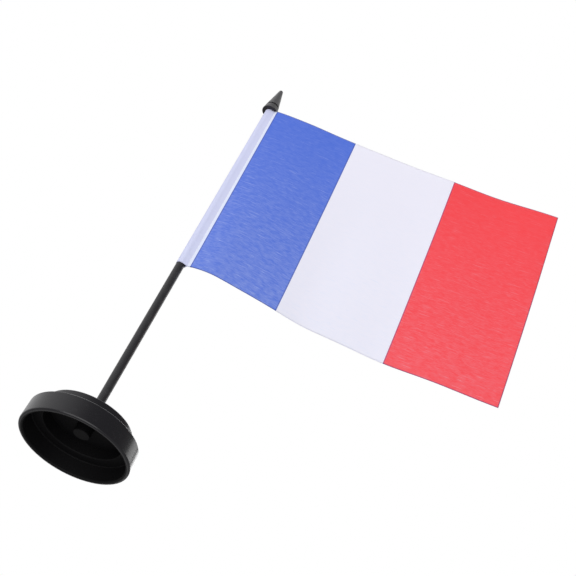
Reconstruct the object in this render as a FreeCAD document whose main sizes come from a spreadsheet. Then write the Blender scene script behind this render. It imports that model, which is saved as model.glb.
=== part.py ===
import FreeCAD, Part
import Sketcher
import math
import os

# Desk flag stand: a hollow moulded base, a thin pole in its socket, a printed cloth flag
# whose sewn sleeve slips over the pole, and a moulded finial pressed down on the pole's end.
# Millimetres. +Z is up the pole, +X is the way the flag flies, and the origin is the
# centre of the base's rim, on the table.

doc = FreeCAD.newDocument("desk_flag_stand")

# ------------------------------------------------------------------ driving dimensions
DIMENSIONS = (
    # the base: a shallow ring with a narrower raised step on it
    ("rim_radius", 29.1),
    ("rim_width", 2.4),
    ("rim_round", 0.9),
    ("ring_top_radius", 28.8),
    ("ring_height", 10.9),
    ("step_radius", 22.6),
    ("step_height", 6.3),
    ("base_wall", 1.9),
    ("base_draft", 0.3),
    ("base_round", 0.5),
    # the blind socket under the step
    ("boss_radius", 4.3),
    ("boss_bottom", 8.0),
    ("socket_floor_thickness", 1.2),
    ("socket_clearance", 0.04),
    ("socket_lead_in", 0.4),
    # the pole
    ("pole_radius", 2.4),
    ("pole_length", 265.5),
    ("pole_chamfer", 0.3),
    # the finial
    ("bell_foot_height", 263.5),
    ("bell_depth", 4.3),
    ("bell_radius", 5.0),
    ("bell_top_radius", 4.3),
    ("groove_width", 0.9),
    ("groove_radius", 3.3),
    ("cone_radius", 4.15),
    ("cone_length", 16.6),
    ("cone_tip_radius", 1.15),
    ("cone_tip_round", 1.0),
    ("finial_round", 0.3),
    # the flag: printed stripes along the fly, and the sleeve round the pole
    ("hoist_bottom", 125.3),
    ("hoist_height", 138.0),
    ("cloth_thickness", 0.3),
    ("sleeve_clearance", 0.05),
    ("print_start", 5.7),
    ("root_width", 14.5),
    ("blue_width", 52.9),
    ("white_width", 65.1),
    ("red_width", 66.3),
    # which way each stretch runs in plan, in degrees from +X, at the lower and upper edges:
    # the root is the first part of the blue, where the cloth still turns away from the sleeve
    ("lower_sleeve_bearing", -15.5),
    ("lower_root_bearing", -5.0),
    ("lower_blue_bearing", 10.8),
    ("lower_white_bearing", 4.2),
    ("lower_red_bearing", -3.9),
    ("upper_sleeve_bearing", -32.0),
    ("upper_root_bearing", -1.3),
    ("upper_blue_bearing", -0.4),
    ("upper_white_bearing", -1.5),
    ("upper_red_bearing", -5.3),
    # the row of stitches that closes the sleeve
    ("seam_distance", 4.0),
    ("seam_end_gap", 3.0),
    ("seam_width", 0.35),
    ("seam_depth", 0.6),
)

sheet = doc.addObject("Spreadsheet::Sheet", "dims")
for row, (alias, value) in enumerate(DIMENSIONS, start=1):
    sheet.set(f"A{row}", alias)
    sheet.set(f"B{row}", str(value))
    sheet.setAlias(f"B{row}", alias)
doc.recompute()


def size(formula):
    """The value of a formula in the sheet's names, such as "dims.rim_radius / 2"."""
    return float(sheet.evalExpression(formula))


# ------------------------------------------------------------------ shared construction
def origin_plane(body, role):
    """One of a body's own origin planes."""
    return next(f for f in body.Origin.OriginFeatures if f.Role == role)


def new_body(label):
    """An empty body that will be written out under this name."""
    body = doc.addObject("PartDesign::Body", label)
    body.Label = label
    return body


def outline_sketch(body, name, corners):
    """A closed outline in the body's XZ plane. Each corner is a pair of formulas: radius, height."""
    sketch = body.newObject("Sketcher::SketchObject", name)
    sketch.AttachmentSupport = [(origin_plane(body, "XZ_Plane"), "")]
    sketch.MapMode = "FlatFace"
    points = [FreeCAD.Vector(size(radius), size(height), 0) for radius, height in corners]
    for i, start in enumerate(points):
        sketch.addGeometry(Part.LineSegment(start, points[(i + 1) % len(points)]), False)
    for i in range(len(points)):
        sketch.addConstraint(Sketcher.Constraint("Coincident", i, 2, (i + 1) % len(points), 1))
    for i, (corner, point) in enumerate(zip(corners, points)):
        for kind, axis, formula, value in (
            ("DistanceX", -2, corner[0], point.x),
            ("DistanceY", -1, corner[1], point.y),
        ):
            if abs(value) < 1e-9:
                sketch.addConstraint(Sketcher.Constraint("PointOnObject", i, 1, axis))
                continue
            index = sketch.addConstraint(Sketcher.Constraint(kind, -1, 1, i, 1, value))
            sketch.setExpression(f"Constraints[{index}]", formula)
    return sketch


def revolve(body, sketch):
    """Turns an outline about the pole's axis."""
    turned = body.newObject("PartDesign::Revolution", "turned_" + sketch.Name)
    turned.Profile = sketch
    turned.ReferenceAxis = (sketch, ["V_Axis"])
    turned.Angle = 360
    sketch.Visibility = False
    doc.recompute()
    return turned


def ring_edges(shape, rings):
    """Names of the circular edges at these radii and heights, each pair given as formulas."""
    names = []
    for radius, height in rings:
        found = [
            f"Edge{i}"
            for i, edge in enumerate(shape.Edges, start=1)
            if isinstance(edge.Curve, Part.Circle)
            and abs(edge.Curve.Radius - size(radius)) < 1e-4
            and abs(edge.Curve.Center.z - size(height)) < 1e-4
        ]
        if len(found) != 1:
            raise RuntimeError(f"{len(found)} edges at radius {radius}, height {height}")
        names += found
    return names


def soften(body, kind, base, rings, formula):
    """A fillet or chamfer on some of the circular edges of a turned piece."""
    dressing = body.newObject("PartDesign::" + kind, kind.lower() + "_" + base.Name)
    dressing.Base = (base, ring_edges(base.Shape, rings))
    dressing.setExpression("Radius" if kind == "Fillet" else "Size", formula)
    doc.recompute()
    return dressing


# ------------------------------------------------------------------ base
def make_base():
    """A hollow dish, open below, with a step on top and a blind socket hanging under the step."""
    body = new_body("base")
    top = "dims.ring_height + dims.step_height"
    step_foot = "dims.step_radius + dims.base_draft"
    step_ceiling = f"{top} - dims.base_wall"
    step_inside = "dims.step_radius - dims.base_wall"
    ring_ceiling = "dims.ring_height - dims.base_wall"
    ring_inside = "dims.ring_top_radius - dims.base_wall - dims.base_draft"
    socket_radius = "dims.pole_radius + dims.socket_clearance"
    socket_floor = "dims.boss_bottom + dims.socket_floor_thickness"
    outline = outline_sketch(
        body,
        "base_outline",
        (
            ("0", "dims.boss_bottom"),
            ("dims.boss_radius", "dims.boss_bottom"),
            ("dims.boss_radius + dims.base_draft", step_ceiling),
            (step_inside, step_ceiling),
            (step_inside, ring_ceiling),
            (ring_inside, ring_ceiling),
            ("dims.rim_radius - dims.rim_width", "0"),
            ("dims.rim_radius", "0"),
            ("dims.ring_top_radius", "dims.ring_height"),
            (step_foot, "dims.ring_height"),
            ("dims.step_radius", top),
            (socket_radius, top),
            (socket_radius, socket_floor),
            ("0", socket_floor),
        ),
    )
    dish = revolve(body, outline)
    rounded = soften(
        body,
        "Fillet",
        dish,
        (
            ("dims.ring_top_radius", "dims.ring_height"),
            (step_foot, "dims.ring_height"),
            ("dims.step_radius", top),
            (step_inside, ring_ceiling),
            (ring_inside, ring_ceiling),
            ("dims.boss_radius", "dims.boss_bottom"),
        ),
        "dims.base_round",
    )
    rim = (("dims.rim_radius", "0"), ("dims.rim_radius - dims.rim_width", "0"))
    rolled = soften(body, "Fillet", rounded, rim, "dims.rim_round")
    soften(body, "Chamfer", rolled, ((socket_radius, top),), "dims.socket_lead_in")
    return body


# ------------------------------------------------------------------ pole
def make_pole():
    """A plain round rod that stands on the socket's floor."""
    body = new_body("pole")
    section = body.newObject("Sketcher::SketchObject", "pole_section")
    section.AttachmentSupport = [(origin_plane(body, "XY_Plane"), "")]
    section.MapMode = "FlatFace"
    centre = FreeCAD.Vector(0, 0, 0)
    upward = FreeCAD.Vector(0, 0, 1)
    section.addGeometry(Part.Circle(centre, upward, size("dims.pole_radius")), False)
    section.addConstraint(Sketcher.Constraint("Coincident", 0, 3, -1, 1))
    radius = section.addConstraint(Sketcher.Constraint("Radius", 0, size("dims.pole_radius")))
    section.setExpression(f"Constraints[{radius}]", "dims.pole_radius")
    rod = body.newObject("PartDesign::Pad", "rod")
    rod.Profile = section
    rod.setExpression("Length", "dims.pole_length")
    doc.recompute()
    ends = (("dims.pole_radius", "0"), ("dims.pole_radius", "dims.pole_length"))
    soften(body, "Chamfer", rod, ends, "dims.pole_chamfer")
    body.setExpression("Placement.Base.z", "dims.boss_bottom + dims.socket_floor_thickness")
    return body


# ------------------------------------------------------------------ finial
def make_finial():
    """A spear-like cone over a short flat-footed bell, with a blind socket for the pole's end."""
    body = new_body("finial")
    bell_top = "dims.bell_foot_height + dims.bell_depth"
    cone_foot = f"{bell_top} + dims.groove_width"
    tip = f"{cone_foot} + dims.cone_length"
    socket_radius = "dims.pole_radius + dims.socket_clearance"
    pole_end = "dims.boss_bottom + dims.socket_floor_thickness + dims.pole_length"
    outline = outline_sketch(
        body,
        "finial_outline",
        (
            ("0", pole_end),
            (socket_radius, pole_end),
            (socket_radius, "dims.bell_foot_height"),
            ("dims.bell_radius", "dims.bell_foot_height"),
            ("dims.bell_top_radius", bell_top),
            ("dims.groove_radius", bell_top),
            ("dims.groove_radius", cone_foot),
            ("dims.cone_radius", cone_foot),
            ("dims.cone_tip_radius", tip),
            ("0", tip),
        ),
    )
    spear = revolve(body, outline)
    point = (("dims.cone_tip_radius", tip),)
    blunted = soften(body, "Fillet", spear, point, "dims.cone_tip_round")
    corners = (("dims.bell_radius", "dims.bell_foot_height"), ("dims.bell_top_radius", bell_top))
    soften(body, "Fillet", blunted, corners, "dims.finial_round")
    return body


# ------------------------------------------------------------------ flag
def edge_points(edge, height):
    """Where the sleeve wall, the print's start and the end of each stretch lie on one edge."""
    bearing = math.radians(size(f"dims.{edge}_sleeve_bearing"))
    sleeve_wall = size("dims.pole_radius + dims.sleeve_clearance + dims.cloth_thickness / 2")
    points = [
        FreeCAD.Vector(reach * math.cos(bearing), reach * math.sin(bearing), height)
        for reach in (sleeve_wall, size("dims.print_start"))
    ]
    for stretch, formula in (
        ("root", "dims.root_width"),
        ("blue", "dims.blue_width - dims.root_width"),
        ("white", "dims.white_width"),
        ("red", "dims.red_width"),
    ):
        bearing = math.radians(size(f"dims.{edge}_{stretch}_bearing"))
        width = size(formula)
        step = FreeCAD.Vector(width * math.cos(bearing), width * math.sin(bearing), 0)
        points.append(points[-1] + step)
    return points


def edge_curve(edge, height):
    """The smooth line of one edge of the cloth."""
    curve = Part.BSplineCurve()
    curve.interpolate(edge_points(edge, height))
    return curve.toShape()


def make_flag_cloth():
    """The sleeve, a tube round the pole, and the panel that flies from it, in one piece of cloth."""
    lower = size("dims.hoist_bottom")
    upper = size("dims.hoist_bottom + dims.hoist_height")
    thickness = size("dims.cloth_thickness")

    middle = Part.makeRuledSurface(edge_curve("lower", lower), edge_curve("upper", upper))
    middle.translate(FreeCAD.Vector(0, -thickness / 2, 0))
    panel = doc.addObject("Part::Feature", "panel")
    panel.Shape = middle.extrude(FreeCAD.Vector(0, thickness, 0))

    rounds = {}
    sleeve_bore = "dims.pole_radius + dims.sleeve_clearance"
    for name, radius in (
        ("sleeve_outside", f"{sleeve_bore} + dims.cloth_thickness"),
        ("sleeve_inside", sleeve_bore),
    ):
        rounds[name] = doc.addObject("Part::Cylinder", name)
        rounds[name].setExpression("Radius", radius)
        rounds[name].setExpression("Height", "dims.hoist_height")
        rounds[name].setExpression("Placement.Base.z", "dims.hoist_bottom")

    joined = doc.addObject("Part::Fuse", "sleeve_and_panel")
    joined.Base = rounds["sleeve_outside"]
    joined.Tool = panel
    cloth = doc.addObject("Part::Cut", "flag_cloth")
    cloth.Base = joined
    cloth.Tool = rounds["sleeve_inside"]
    cloth.Label = "flag_cloth"
    doc.recompute()
    return cloth


# ------------------------------------------------------------------ sleeve seam
def make_sleeve_seam():
    """The line of stitching that closes the sleeve, as one slim bar through the cloth."""
    sections = []
    for edge, height in (
        ("lower", "dims.hoist_bottom + dims.seam_end_gap"),
        ("upper", "dims.hoist_bottom + dims.hoist_height - dims.seam_end_gap"),
    ):
        section = doc.addObject("Part::Plane", f"{edge}_seam_end")
        section.setExpression("Length", "dims.seam_width")
        section.setExpression("Width", "dims.seam_depth")
        along = f"dims.seam_distance * cos(dims.{edge}_sleeve_bearing * 1deg)"
        across = f"dims.seam_distance * sin(dims.{edge}_sleeve_bearing * 1deg)"
        section.setExpression("Placement.Base.x", f"{along} - dims.seam_width / 2")
        section.setExpression("Placement.Base.y", f"{across} - dims.seam_depth / 2")
        section.setExpression("Placement.Base.z", height)
        sections.append(section)
    seam = doc.addObject("Part::Loft", "sleeve_seam")
    seam.Sections = sections
    seam.Solid = True
    seam.Ruled = True
    seam.Label = "sleeve_seam"
    doc.recompute()
    return seam


# ------------------------------------------------------------------ build and write
def check(pieces):
    """Stops if anything in the document failed, or a piece isn't one sound solid."""
    for item in doc.Objects:
        if "Invalid" in item.State or "Error" in item.State:
            raise RuntimeError(f"{item.Label} failed: {item.State}")
    for piece in pieces:
        if piece.Shape.isNull() or not piece.Shape.isValid():
            raise RuntimeError(f"{piece.Label} has no valid shape")
        if len(piece.Shape.Solids) != 1:
            raise RuntimeError(f"{piece.Label} has {len(piece.Shape.Solids)} solids")


pieces = [make_base(), make_pole(), make_finial(), make_flag_cloth(), make_sleeve_seam()]
doc.recompute()
check(pieces)
os.makedirs("parts", exist_ok=True)
for piece in pieces:
    piece.Shape.exportStep(f"parts/{piece.Label}.step")
    box = piece.Shape.BoundBox
    print(f"{piece.Label}: {piece.Shape.Volume:.1f} mm3, z {box.ZMin:.2f} to {box.ZMax:.2f}")
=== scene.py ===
import math
import bpy
import numpy as np
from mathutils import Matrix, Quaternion, Vector


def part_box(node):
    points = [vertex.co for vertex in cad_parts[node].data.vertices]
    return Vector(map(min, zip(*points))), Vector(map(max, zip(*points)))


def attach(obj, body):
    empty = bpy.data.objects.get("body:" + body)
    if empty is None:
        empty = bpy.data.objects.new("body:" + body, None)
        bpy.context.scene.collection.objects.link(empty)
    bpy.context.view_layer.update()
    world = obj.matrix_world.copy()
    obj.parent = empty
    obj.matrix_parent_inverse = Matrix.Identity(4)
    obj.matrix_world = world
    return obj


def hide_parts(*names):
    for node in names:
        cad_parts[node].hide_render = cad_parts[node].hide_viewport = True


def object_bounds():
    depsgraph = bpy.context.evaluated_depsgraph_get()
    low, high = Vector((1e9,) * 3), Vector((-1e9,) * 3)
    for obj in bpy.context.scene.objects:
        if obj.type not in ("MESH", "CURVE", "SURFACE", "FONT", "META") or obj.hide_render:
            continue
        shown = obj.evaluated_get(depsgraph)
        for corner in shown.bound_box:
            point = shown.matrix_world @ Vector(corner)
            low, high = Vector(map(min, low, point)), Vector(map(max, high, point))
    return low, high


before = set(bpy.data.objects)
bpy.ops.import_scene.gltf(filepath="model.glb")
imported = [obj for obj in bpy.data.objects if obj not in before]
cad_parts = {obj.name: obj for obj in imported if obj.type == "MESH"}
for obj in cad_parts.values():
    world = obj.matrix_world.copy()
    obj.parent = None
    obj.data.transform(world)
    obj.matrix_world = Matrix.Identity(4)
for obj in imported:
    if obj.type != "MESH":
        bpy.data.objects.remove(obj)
cad_low, cad_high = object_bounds()


# ---------------------------------------------------------------- camera
# The stand is looked at from in front of the flag and from under it, up into the hollow base,
# with the pole leaning over to the right.
view_azimuth = math.radians(4.0)
view_elevation = math.radians(-38.568)
view_roll = math.radians(25.785)
view_distance = 0.5861
aimed_at = Vector((0.0584, -0.0001, 0.1400))

towards_eye = Vector((
    math.sin(view_azimuth) * math.cos(view_elevation),
    -math.cos(view_azimuth) * math.cos(view_elevation),
    math.sin(view_elevation),
))
camera = bpy.data.objects.new("camera", bpy.data.cameras.new("camera"))
camera.data.sensor_width = 36.0
camera.data.lens = 66.62
camera.data.clip_start = 0.01
camera.rotation_mode = "QUATERNION"
upright = (-towards_eye).to_track_quat("-Z", "Y")
camera.rotation_quaternion = Quaternion(towards_eye, view_roll) @ upright
camera.location = aimed_at + towards_eye * view_distance
bpy.context.scene.collection.objects.link(camera)
bpy.context.scene.camera = camera


# ---------------------------------------------------------------- base
# A hollow dish moulded in one shot of black polystyrene, open underneath, with a narrower
# step on top and a blind socket for the pole. Outside it is glossy, with the faint orange
# peel of a polished mould and fine rubs; inside it is matt, with the core's turning marks.
# The hollow is also painted a darker black with a weaker reflection: painted shade in the recess.
class Wire:
    """A value in a material. Arithmetic on it adds Math nodes, and node() adds any other."""

    def __init__(self, tree, socket=None):
        self.tree = tree
        self.socket = socket

    def node(self, kind, inputs=(), output=0, **settings):
        """Adds a node of this kind: its settings first, then its sockets, set or linked."""
        added = self.tree.nodes.new(kind)
        for name, value in settings.items():
            setattr(added, name, value)
        for name, value in dict(inputs).items():
            if isinstance(value, Wire):
                self.tree.links.new(value.socket, added.inputs[name])
            else:
                added.inputs[name].default_value = value
        return Wire(self.tree, added.outputs[output])

    def maths(self, operation, *values):
        return self.node("ShaderNodeMath", dict(enumerate(values)), operation=operation)

    def __add__(self, other):
        return self.maths("ADD", self, other)

    def __radd__(self, other):
        return self.maths("ADD", other, self)

    def __sub__(self, other):
        return self.maths("SUBTRACT", self, other)

    def __rsub__(self, other):
        return self.maths("SUBTRACT", other, self)

    def __mul__(self, other):
        return self.maths("MULTIPLY", self, other)

    def __rmul__(self, other):
        return self.maths("MULTIPLY", other, self)

    def above(self, edge, softness):
        """0 below an edge and 1 above it, with a soft change between."""
        inputs = {"Value": self, "From Min": edge - softness, "From Max": edge + softness}
        return self.node("ShaderNodeMapRange", inputs, interpolation_type="SMOOTHSTEP")

    def tint(self, first, second):
        """The first colour where this value is 0, and the second where it is 1."""
        inputs = {0: self, 6: first, 7: second}
        return self.node("ShaderNodeMix", inputs, output=2, data_type="RGBA")


def new_material(name):
    """An empty material, and the wire that its nodes are added with."""
    material = bpy.data.materials.new(name)
    material.use_nodes = True
    material.node_tree.nodes.clear()
    return material, Wire(material.node_tree)


def finish_material(wire, shader):
    surface = wire.tree.nodes.new("ShaderNodeOutputMaterial").inputs["Surface"]
    wire.tree.links.new(shader.socket, surface)


def cover(piece, material):
    """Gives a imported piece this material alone."""
    piece.data.materials.clear()
    piece.data.materials.append(material)


def noise(wire, place, scale, detail=2.0, roughness=0.5):
    """Cloudy noise from 0 to 1 at a place. The scale is in clouds a metre."""
    inputs = {"Vector": place, "Scale": scale, "Detail": detail, "Roughness": roughness}
    return wire.node("ShaderNodeTexNoise", inputs)


def stretched(wire, place, by):
    """A place with its three directions stretched, for noise that runs one way."""
    return wire.node("ShaderNodeMapping", {"Vector": place, "Scale": by}, vector_type="POINT")


def places(wire, place):
    """The three coordinates of a place, each as a value."""
    split = wire.tree.nodes.new("ShaderNodeSeparateXYZ")
    wire.tree.links.new(place.socket, split.inputs[0])
    return [Wire(wire.tree, socket) for socket in split.outputs]


base_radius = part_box("base")[1].x
rim_flat = 0.0014
ring_ceiling = 0.0096
step_inset = 0.0076
step_ceiling = 0.0162
edge_blur = 0.00015
polished_black = (0.0068, 0.0062, 0.0088, 1.0)
rubbed_black = (0.022, 0.022, 0.025, 1.0)
# the hollow's matt black is darker than the outside black, as painted shade in the recess
matt_black_painted_shade = (0.0040, 0.0037, 0.0044, 1.0)
matt_dust = (0.0085, 0.0082, 0.0090, 1.0)

base_plastic, wire = new_material("glossy_black_moulding")
place = wire.node("ShaderNodeTexCoord", output=3)
x, y, z = places(wire, place)
radius = wire.maths("POWER", x * x + y * y, 0.5)
within_ring = 1.0 - radius.above(base_radius - rim_flat, edge_blur)
within_step = 1.0 - radius.above(base_radius - step_inset, edge_blur)
in_ring = within_ring * (1.0 - z.above(ring_ceiling, edge_blur))
in_step = within_step * (1.0 - z.above(step_ceiling, edge_blur))
hollow_painted_shade = wire.maths("MAXIMUM", in_ring, in_step)
peel = noise(wire, place, 350.0)
rubs = noise(wire, place, 420.0, 4.0, 0.6).above(0.66, 0.10)
clouds = noise(wire, place, 60.0, 3.0)
polish = wire.node("ShaderNodeBsdfPrincipled", {
    "Base Color": (rubs * 0.25).tint(polished_black, rubbed_black),
    "Roughness": 0.20 + 0.06 * clouds + 0.05 * rubs,
    "Normal": wire.node("ShaderNodeBump", {"Height": peel, "Strength": 0.05, "Distance": 0.0004}),
})
turning = noise(wire, wire.node("ShaderNodeCombineXYZ", {0: radius, 1: z}), 5200.0, 2.0)
flecks = noise(wire, place, 1400.0, 4.0, 0.6).above(0.64, 0.1)
# the hollow's shader: matt with turning marks, and a darker colour and weak reflection as painted shade
matt_core_painted_shade = wire.node("ShaderNodeBsdfPrincipled", {
    "Base Color": (flecks * 0.6).tint(matt_black_painted_shade, matt_dust),
    "Roughness": 0.5 + 0.2 * clouds,
    "Specular IOR Level": 0.14,
    "Normal": wire.node("ShaderNodeBump", {"Height": turning, "Strength": 0.2, "Distance": 0.0002}),
})
finish_material(wire, wire.node("ShaderNodeMixShader", {0: hollow_painted_shade, 1: polish, 2: matt_core_painted_shade}))
cover(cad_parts["base"], base_plastic)


# ---------------------------------------------------------------- pole
# A thin rod of black plastic, drawn through a die, so that faint lines run along it. It is
# pushed down into the socket of the base.
pole_black = (0.0140, 0.0132, 0.0160, 1.0)
pole_worn = (0.026, 0.026, 0.029, 1.0)

pole_plastic, wire = new_material("satin_black_rod")
place = wire.node("ShaderNodeTexCoord", output=3)
die_lines = noise(wire, stretched(wire, place, (1.0, 1.0, 0.03)), 2600.0, 2.0)
mottle = noise(wire, stretched(wire, place, (1.0, 1.0, 0.35)), 420.0, 4.0, 0.6)
bump = wire.node("ShaderNodeBump", {"Height": die_lines + mottle, "Strength": 0.12, "Distance": 0.0003})
finish_material(wire, wire.node("ShaderNodeBsdfPrincipled", {
    "Base Color": mottle.above(0.62, 0.15).tint(pole_black, pole_worn),
    "Roughness": 0.34 + 0.16 * mottle,
    "Normal": bump,
}))
cover(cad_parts["pole"], pole_plastic)


# ---------------------------------------------------------------- finial
# A small black spear point with a bell under it, moulded in one piece and pressed over the
# pole's end. Its surface is a little duller than the base.
finial_black = (0.0120, 0.0105, 0.0140, 1.0)
finial_worn = (0.028, 0.026, 0.031, 1.0)

finial_plastic, wire = new_material("satin_black_moulding")
place = wire.node("ShaderNodeTexCoord", output=3)
grain = noise(wire, place, 1500.0, 3.0)
patches = noise(wire, place, 500.0, 3.0)
bump = wire.node("ShaderNodeBump", {"Height": grain, "Strength": 0.07, "Distance": 0.0002})
finish_material(wire, wire.node("ShaderNodeBsdfPrincipled", {
    "Base Color": patches.above(0.64, 0.12).tint(finial_black, finial_worn),
    "Roughness": 0.36 + 0.14 * patches,
    "Normal": bump,
}))
cover(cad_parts["finial"], finial_plastic)


# ---------------------------------------------------------------- flag cloth
# One cut piece of thin woven polyester. Its unprinted margin goes round the pole as a sleeve
# and is caught down behind; the rest is printed right through in three stripes. It stands out
# from the pole by its own stiffness, a little curled.
cloth_low, cloth_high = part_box("flag_cloth")
hoist_bottom = cloth_low.z
hoist_height = cloth_high.z - cloth_low.z
ply = 0.00014
sleeve_slack = 0.00012
sleeve_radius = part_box("pole")[1].x + sleeve_slack
seam_reach = 0.0040
print_reach = 0.0057
stripe_widths = (0.0529, 0.0651, 0.0663)
printed_length = sum(stripe_widths)
fly_steps = 180
hoist_steps = 112
flap_steps = 1

# the bearing that the cloth leaves the pole on, and which way it then runs, in degrees at
# distances in mm from the print's start: for the lower edge and for the upper one
sleeve_bearings = (-15.5, -32.0)
lower_headings = (
    (0, -15), (8, -6.5), (16, 8), (26, 12.5), (44, 11), (60, 13),
    (76, 3), (100, 2), (130, -4.5), (160, -3.5), (184, -3),
)
upper_headings = (
    (0, -8), (8, -1.5), (30, -0.5), (60, 1), (90, -3.5), (120, -1.5), (150, -7), (184, -6),
)


def sleeve_bearing(share_up):
    """The bearing that the cloth leaves the pole on, in radians, this share of the way up."""
    lower, upper = sleeve_bearings
    return math.radians(lower + (upper - lower) * share_up)


def heading(share_up, distance):
    """The way the cloth runs in plan, in radians, this high up and this far from the sleeve."""
    along = distance * 1000.0
    lower = np.interp(along, *zip(*lower_headings))
    upper = np.interp(along, *zip(*upper_headings))
    return np.radians(lower + (upper - lower) * share_up)


def ripple(share_up, distance):
    """How far the cloth stands forward or back of its even curve."""
    grown = min(distance / 0.03, 1.0)
    long_wave = 0.00028 * math.sin(distance * 118.0 + share_up * 2.6)
    short_wave = 0.00014 * math.sin(distance * 61.0 - share_up * 9.0 + 1.1)
    return grown * (long_wave + short_wave)


def cloth_row(share_up):
    """The cloth at one height, from the flap's cut edge round the pole to the fly."""
    bearing = sleeve_bearing(share_up)
    outward = np.array((math.cos(bearing), math.sin(bearing)))
    behind = np.array((-outward[1], outward[0]))
    gap = behind * ply * 0.6
    step = printed_length / fly_steps
    spine = [outward * reach for reach in np.linspace(seam_reach, print_reach, 4)]
    start = len(spine) - 1
    waves = [0.0] * len(spine)
    for i in range(fly_steps):
        turn = heading(share_up, (i + 0.5) * step)
        spine.append(spine[-1] + step * np.array((math.cos(turn), math.sin(turn))))
        waves.append(ripple(share_up, (i + 1) * step))
    front = [point + behind * wave - gap for point, wave in zip(spine, waves)]
    flap = [point + 2.0 * gap for point in front[:start + flap_steps + 1]][::-1]
    opening = math.acos(sleeve_radius / seam_reach)
    turns = np.linspace(bearing + opening, bearing + 2.0 * math.pi - opening, 40)
    round_pole = [sleeve_radius * np.array((math.cos(turn), math.sin(turn))) for turn in turns]
    points = np.array(flap + round_pole + front)
    runs = np.concatenate(((0.0,), np.cumsum(np.linalg.norm(np.diff(points, axis=0), axis=1))))
    return points, runs - runs[len(flap) + len(round_pole) + start]


shares = np.linspace(0.0, 1.0, hoist_steps + 1)
rows = [cloth_row(share) for share in shares]
across = len(rows[0][0])
corners = []
for share, (points, _) in zip(shares, rows):
    corners += [(x, y, hoist_bottom + share * hoist_height) for x, y in points]
faces = []
for up in range(hoist_steps):
    for i in range(across - 1):
        first = up * across + i
        faces.append((first, first + 1, first + 1 + across, first + across))
cloth_mesh = bpy.data.meshes.new("flag_cloth_sheet")
cloth_mesh.from_pydata(corners, [], faces)
threads = cloth_mesh.uv_layers.new(name="along_the_threads")
for loop in cloth_mesh.loops:
    up, i = divmod(loop.vertex_index, across)
    threads.data[loop.index].uv = (rows[up][1][i], shares[up] * hoist_height)
cloth_mesh.update()
cloth = bpy.data.objects.new("flag", cloth_mesh)
bpy.context.scene.collection.objects.link(cloth)
for polygon in cloth_mesh.polygons:
    polygon.use_smooth = True
thickness = cloth.modifiers.new("ply", "SOLIDIFY")
thickness.thickness = ply
thickness.offset = 0.0
thickness.use_rim = True

print_blue = (0.066, 0.155, 0.715, 1.0)
print_white = (0.900, 0.885, 0.995, 1.0)
print_red = (0.970, 0.056, 0.067, 1.0)
doubled_white = (0.790, 0.830, 0.990, 1.0)
# the sleeve's white where it wraps the pole, darkened as painted shade of the dark pole behind the thin
# cloth
sleeve_white_painted_shade = (0.655, 0.675, 0.910, 1.0)
pale_thread = (0.72, 0.80, 0.98, 1.0)
singed = (0.045, 0.065, 0.27, 1.0)

flag_fabric, wire = new_material("printed_polyester")
uv = wire.node("ShaderNodeUVMap", uv_map="along_the_threads")
along, height, _ = places(wire, uv)
bleed = 0.00012
first_join, second_join = (float(join) for join in np.cumsum(stripe_widths)[:2])
# the sleeve round the pole is painted darker than the flat margin: painted shade of the pole seen
# through the cloth
bare = along.above(seam_reach - print_reach, bleed).tint(sleeve_white_painted_shade, doubled_white)
ink = along.above(0.0, bleed).tint(bare, print_blue)
ink = along.above(first_join, bleed).tint(ink, print_white)
ink = along.above(second_join, bleed).tint(ink, print_red)

# uneven yarns show as short pale streaks, and the ink takes a little better in some places
slubs = noise(wire, stretched(wire, uv, (0.14, 1.0, 1.0)), 2200.0, 2.0, 0.55)
long_slubs = noise(wire, stretched(wire, uv, (0.05, 1.0, 1.0)), 1800.0, 2.0, 0.5)
uptake = noise(wire, stretched(wire, uv, (0.45, 1.0, 1.0)), 420.0, 4.0, 0.65)
# the pale streaks and patches grow stronger towards the lower edge and weaker towards the top
paler_towards_bottom = 1.55 - height * (1.15 / hoist_height)
streaks = slubs.above(0.58, 0.14) * 0.08 + long_slubs.above(0.66, 0.06) * 0.20
pale = (streaks + uptake.above(0.5, 0.2) * 0.07 + 0.045) * paler_towards_bottom
ink = (pale * (1.0 - 0.5 * along.above(second_join, bleed))).tint(ink, pale_thread)

# the hot-cut edge is a thin dark line, and ink builds up in a finer one beside each join
cut_width, join_width, soft = 0.00042, 0.00028, 0.00008
near_cut = wire.maths("MINIMUM", height, hoist_height - height)
near_cut = wire.maths("MINIMUM", near_cut, printed_length - along)
at_cut = (1.0 - near_cut.above(cut_width, soft)) * along.above(0.0, bleed)
built_up = 0.0
for join in (join_width, first_join - join_width, second_join + join_width):
    beside = wire.maths("ABSOLUTE", along - join)
    built_up = built_up + (1.0 - beside.above(join_width, soft))
on_white = along.above(first_join, bleed) - along.above(second_join, bleed)
ink = (at_cut * (0.6 - on_white * 0.5) + built_up * 0.5).tint(ink, singed)

yarn_pitch = 0.00030
weft = wire.maths("SINE", height * (2 * math.pi / yarn_pitch))
warp = wire.maths("SINE", along * (2 * math.pi / yarn_pitch))
weave = weft * warp + slubs * 0.8
bump = wire.node("ShaderNodeBump", {"Height": weave, "Strength": 0.25, "Distance": 0.00006})
finish_material(wire, wire.node("ShaderNodeBsdfPrincipled", {
    "Base Color": ink,
    "Roughness": 0.72,
    "Sheen Weight": 0.20,
    "Sheen Roughness": 0.35,
    "Specular IOR Level": 0.2,
    "Normal": bump,
}))
cloth_mesh.materials.append(flag_fabric)
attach(cloth, "flag")
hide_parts("flag_cloth")


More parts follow.
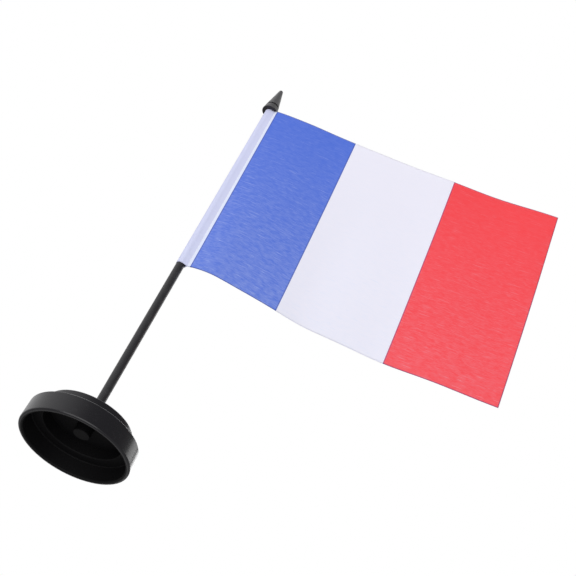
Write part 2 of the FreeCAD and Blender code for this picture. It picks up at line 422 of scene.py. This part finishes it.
# ---------------------------------------------------------------- sleeve seam
# A single row of lockstitch in white thread, close beside the pole, holds the margin down and
# makes the sleeve. The thread shows as the same short stitches on both faces.
seam_low, seam_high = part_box("sleeve_seam")
stitch_pitch = 0.0025
stitch_length = 0.0019
thread_radius = 0.00014
thread_shade = (0.78, 0.78, 0.86, 1.0)
thread_white = (0.90, 0.90, 0.95, 1.0)


def seam_line(side):
    """The row of needle holes on one face of the cloth: side is -1 in front and 1 behind."""
    points = []
    for height in (seam_low.z, seam_high.z):
        share_up = (height - hoist_bottom) / hoist_height
        bearing = sleeve_bearing(share_up)
        outward = Vector((math.cos(bearing), math.sin(bearing), 0.0))
        behind = Vector((-outward.y, outward.x, 0.0))
        point = outward * seam_reach + behind * side * ply * 1.25
        point.z = height
        points.append(point)
    return points


def stitch_tree():
    """Geometry nodes: stitches of one length, spaced evenly along the object's own edges."""
    tree = bpy.data.node_groups.new("row_of_stitches", "GeometryNodeTree")
    sockets = tree.interface
    sockets.new_socket("Line", in_out="INPUT", socket_type="NodeSocketGeometry")
    for name in ("Pitch", "Length", "Radius"):
        sockets.new_socket(name, in_out="INPUT", socket_type="NodeSocketFloat")
    sockets.new_socket("Thread", in_out="INPUT", socket_type="NodeSocketMaterial")
    sockets.new_socket("Stitches", in_out="OUTPUT", socket_type="NodeSocketGeometry")
    nodes, link = tree.nodes, tree.links.new
    given, result = nodes.new("NodeGroupInput"), nodes.new("NodeGroupOutput")
    line = nodes.new("GeometryNodeMeshToCurve")
    holes = nodes.new("GeometryNodeCurveToPoints")
    holes.mode = "LENGTH"
    bead = nodes.new("GeometryNodeMeshUVSphere")
    bead.inputs["Segments"].default_value = 8
    bead.inputs["Rings"].default_value = 8
    half = nodes.new("ShaderNodeMath")
    half.operation = "MULTIPLY"
    half.inputs[1].default_value = 0.5
    shape = nodes.new("ShaderNodeCombineXYZ")
    longer = nodes.new("GeometryNodeTransform")
    placed = nodes.new("GeometryNodeInstanceOnPoints")
    real = nodes.new("GeometryNodeRealizeInstances")
    smooth = nodes.new("GeometryNodeSetShadeSmooth")
    painted = nodes.new("GeometryNodeSetMaterial")
    link(given.outputs["Line"], line.inputs["Mesh"])
    link(line.outputs["Curve"], holes.inputs["Curve"])
    link(given.outputs["Pitch"], holes.inputs["Length"])
    link(given.outputs["Length"], half.inputs[0])
    link(given.outputs["Radius"], shape.inputs["X"])
    link(given.outputs["Radius"], shape.inputs["Y"])
    link(half.outputs["Value"], shape.inputs["Z"])
    link(bead.outputs["Mesh"], longer.inputs["Geometry"])
    link(shape.outputs["Vector"], longer.inputs["Scale"])
    link(holes.outputs["Points"], placed.inputs["Points"])
    link(holes.outputs["Rotation"], placed.inputs["Rotation"])
    link(longer.outputs["Geometry"], placed.inputs["Instance"])
    link(placed.outputs["Instances"], real.inputs["Geometry"])
    link(real.outputs["Geometry"], smooth.inputs["Geometry"])
    link(smooth.outputs["Geometry"], painted.inputs["Geometry"])
    link(given.outputs["Thread"], painted.inputs["Material"])
    link(painted.outputs["Geometry"], result.inputs["Stitches"])
    return tree


seam_thread, wire = new_material("white_sewing_thread")
place = wire.node("ShaderNodeTexCoord", output=3)
fibres = noise(wire, place, 9000.0, 2.0)
finish_material(wire, wire.node("ShaderNodeBsdfPrincipled", {
    "Base Color": fibres.tint(thread_shade, thread_white),
    "Roughness": 0.6,
    "Normal": wire.node("ShaderNodeBump", {"Height": fibres, "Strength": 0.3, "Distance": 0.00005}),
}))

seam_mesh = bpy.data.meshes.new("sleeve_seam_lines")
front, rear = seam_line(-1), seam_line(1)
seam_mesh.from_pydata([*front, *rear], [(0, 1), (2, 3)], [])
seam_lines = bpy.data.objects.new("sleeve_seam_lines", seam_mesh)
bpy.context.scene.collection.objects.link(seam_lines)
sewing = seam_lines.modifiers.new("stitches", "NODES")
sewing.node_group = stitch_tree()
settings = {
    item.name: item.identifier
    for item in sewing.node_group.interface.items_tree
    if item.in_out == "INPUT"
}
sewing[settings["Pitch"]] = stitch_pitch
sewing[settings["Length"]] = stitch_length
sewing[settings["Radius"]] = thread_radius
sewing[settings["Thread"]] = seam_thread
sewn = bpy.data.meshes.new_from_object(
    seam_lines.evaluated_get(bpy.context.evaluated_depsgraph_get())
)
bpy.data.objects.remove(seam_lines)
seam = bpy.data.objects.new("sleeve_stitches", sewn)
bpy.context.scene.collection.objects.link(seam)
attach(seam, "flag")
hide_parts("sleeve_seam")


# ---------------------------------------------------------------- floor and light
# A pale table top at the base's rim, which shows from above only, under soft studio light: a
# white sweep below, a lit wall at the left, and softboxes overhead, in front, behind and right.
floor_mesh = bpy.data.meshes.new("floor")
reach = 20.0
floor_mesh.from_pydata(
    [(-reach, -reach, 0), (reach, -reach, 0), (reach, reach, 0), (-reach, reach, 0)],
    [],
    [(0, 1, 2, 3)],
)
floor = bpy.data.objects.new("floor", floor_mesh)
bpy.context.scene.collection.objects.link(floor)
paint, wire = new_material("pale_table_top")
matt_paint = wire.node("ShaderNodeBsdfDiffuse", {"Color": (0.43, 0.43, 0.44, 1.0)})
even_glow = wire.node("ShaderNodeEmission", {"Strength": 0.46})
top_face = wire.node("ShaderNodeAddShader", {0: matt_paint, 1: even_glow})
under_face = wire.node("ShaderNodeBsdfTransparent")
underneath = wire.node("ShaderNodeNewGeometry", output=6)
finish_material(wire, wire.node("ShaderNodeMixShader", {0: underneath, 1: top_face, 2: under_face}))
floor_mesh.materials.append(paint)
floor.visible_diffuse = False
floor.visible_glossy = False
floor.visible_transmission = False
floor.visible_shadow = False

sky = bpy.data.worlds.new("studio")
bpy.context.scene.world = sky
sky.use_nodes = True
sky.node_tree.nodes.clear()
wire = Wire(sky.node_tree)
rightward, _, upward = places(wire, wire.node("ShaderNodeTexCoord", output=0))
sweep_strength, ceiling_strength, left_wall_strength = 0.38, 0.22, 0.85
lit_wall = (-1.0 * rightward).above(0.36, 0.55) * left_wall_strength
room = sweep_strength + upward.above(0.05, 0.35) * (lit_wall + (ceiling_strength - sweep_strength))
seen = wire.node("ShaderNodeLightPath", output=0)
white = (1.0, 1.0, 1.0, 1.0)
backdrop = wire.node("ShaderNodeBackground", {"Color": white, "Strength": room + seen * (1.0 - room)})
wire.tree.links.new(backdrop.socket, wire.tree.nodes.new("ShaderNodeOutputWorld").inputs["Surface"])


def softbox(name, place, across, power):
    """A square area light, aimed at the middle of the stand."""
    lamp = bpy.data.lights.new(name, "AREA")
    lamp.shape = "SQUARE"
    lamp.size = across
    lamp.energy = power
    light = bpy.data.objects.new(name, lamp)
    bpy.context.scene.collection.objects.link(light)
    middle = (cad_low + cad_high) / 2.0
    light.location = place
    light.rotation_mode = "QUATERNION"
    light.rotation_quaternion = (middle - light.location).to_track_quat("-Z", "Y")
    light.visible_camera = False


softbox("overhead_softbox", Vector((0.10, 0.10, 1.50)), 1.80, 12.0)
softbox("front_softbox", Vector((-0.10, -1.60, -0.45)), 2.20, 24.3)
softbox("back_softbox", Vector((0.25, 1.60, 0.90)), 1.10, 9.0)
softbox("right_softbox", Vector((1.05, 0.85, 1.05)), 0.70, 2.9)
bpy.context.scene.view_settings.view_transform = "Standard"
